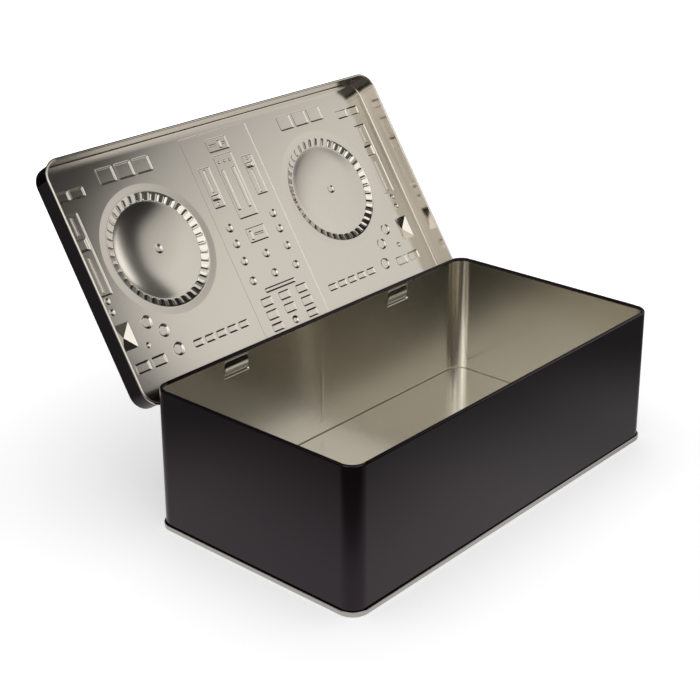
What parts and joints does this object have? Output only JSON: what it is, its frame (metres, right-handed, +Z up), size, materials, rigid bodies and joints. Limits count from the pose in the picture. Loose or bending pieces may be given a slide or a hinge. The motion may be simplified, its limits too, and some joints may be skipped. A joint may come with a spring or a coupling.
{
  "type": "hinged rectangular tin",
  "caption": "Hinged rectangular tin with rolled rim and seamed bottom, lid stamped with a relief of a two-deck mixing desk, shown open.",
  "frame": {"origin": "bottom centre of the box round the tin with its lid open at its rest pose, in the plane that the bottom seam stands on", "axes": "+X along the long side, +Y towards the hinge and the open lid, +Z up"},
  "size_m": [0.3046, 0.2616, 0.2161],
  "materials": {
    "black_lacquer": "gloss black lacquer outside, bare satin tinplate inside",
    "tinplate": "bare satin tinplate",
    "bright_tinplate": "bare satin tinplate inside, gloss black lacquer outside"
  },
  "bodies": {
    "tin": {"body_wall": "black_lacquer", "bottom_plate": "tinplate"},
    "lid": {"lid": "bright_tinplate"}
  },
  "joints": [
    {"name": "lid_hinge", "type": "hinge", "parent": "tin", "child": "lid", "pos_m": [0, 0.03092, 0.0791], "axis": [1, 0, 0], "range_deg": [0, 122.8]}
  ]
}
